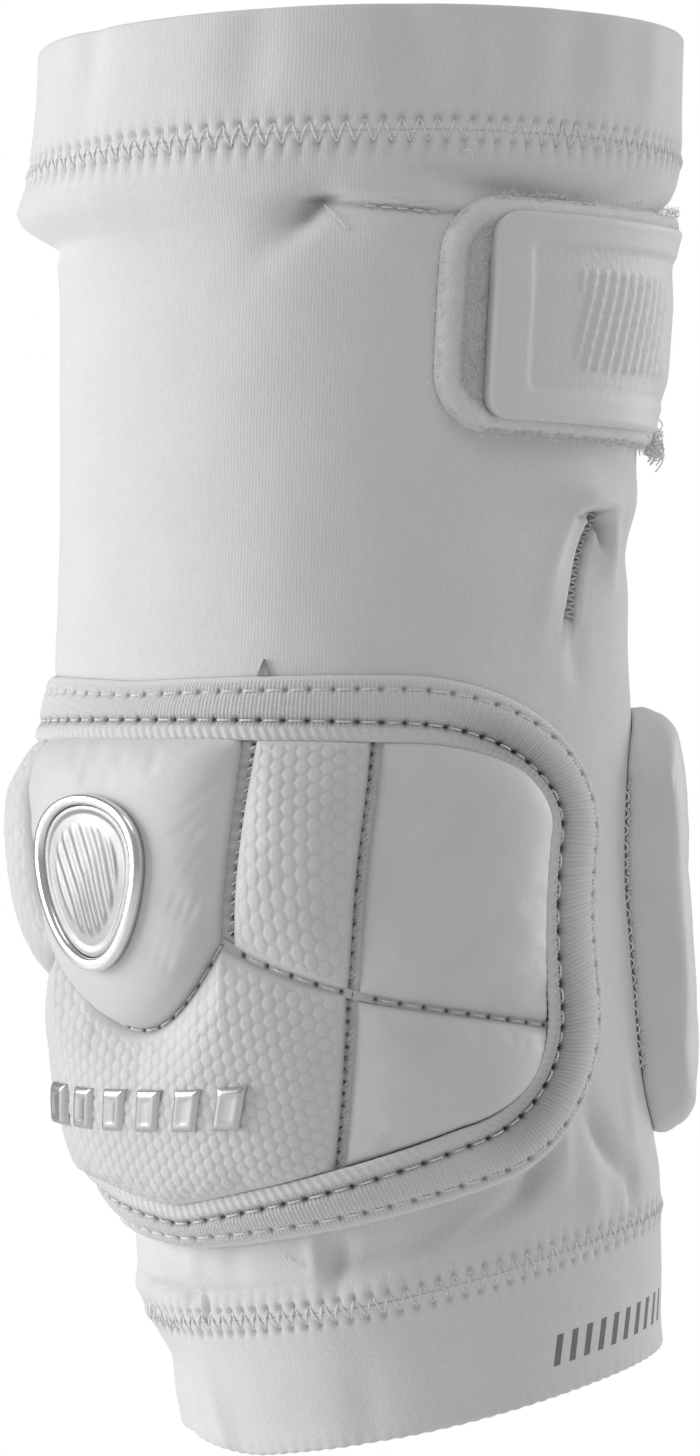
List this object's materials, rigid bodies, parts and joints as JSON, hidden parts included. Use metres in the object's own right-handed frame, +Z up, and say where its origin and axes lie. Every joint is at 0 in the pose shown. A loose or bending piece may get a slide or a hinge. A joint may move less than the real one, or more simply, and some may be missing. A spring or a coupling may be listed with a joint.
{
  "type": "lacrosse arm pad",
  "caption": "Knitted arm sleeve with a quilted elbow cap, a second foam pad, a strap with a moulded tab on a fleece patch and folded hems.",
  "frame": {"origin": "on the arm's axis at the elbow, where the sleeve sits on the arm", "axes": "+Z up the upper arm, -Y out of the elbow cap, +X towards the strap's tab"},
  "size_m": [0.1187, 0.1291, 0.2672],
  "materials": {
    "knit": "stretch knit with fine upright wales",
    "leather": "smooth synthetic leather over foam",
    "grip": "synthetic leather embossed with hexagons",
    "tape": "ribbed woven tape",
    "chrome": "bright plated plastic",
    "fleece": "brushed loop fleece",
    "moulded": "soft moulded plastic with a leather grain",
    "webbing": "elastic webbing"
  },
  "bodies": {
    "root": {"sleeve_body": "knit", "upper_cuff": "knit", "lower_cuff": "knit", "tongue_panel": "leather", "grip_panel_left": "grip", "grip_panel_right": "grip", "lower_grip_panel": "grip", "side_panel_upper_left": "leather", "side_panel_upper_right": "leather", "side_panel_lower_left": "leather", "side_panel_lower_right": "leather", "pad_binding": "tape", "badge_bezel": "chrome", "badge_plate": "chrome", "trim_bar_1": "chrome", "trim_bar_2": "chrome", "trim_bar_3": "chrome", "trim_bar_4": "chrome", "trim_bar_5": "chrome", "trim_bar_6": "chrome", "loop_patch": "fleece", "strap_tab": "moulded", "strap": "webbing", "side_pad": "leather"}
  },
  "joints": []
}
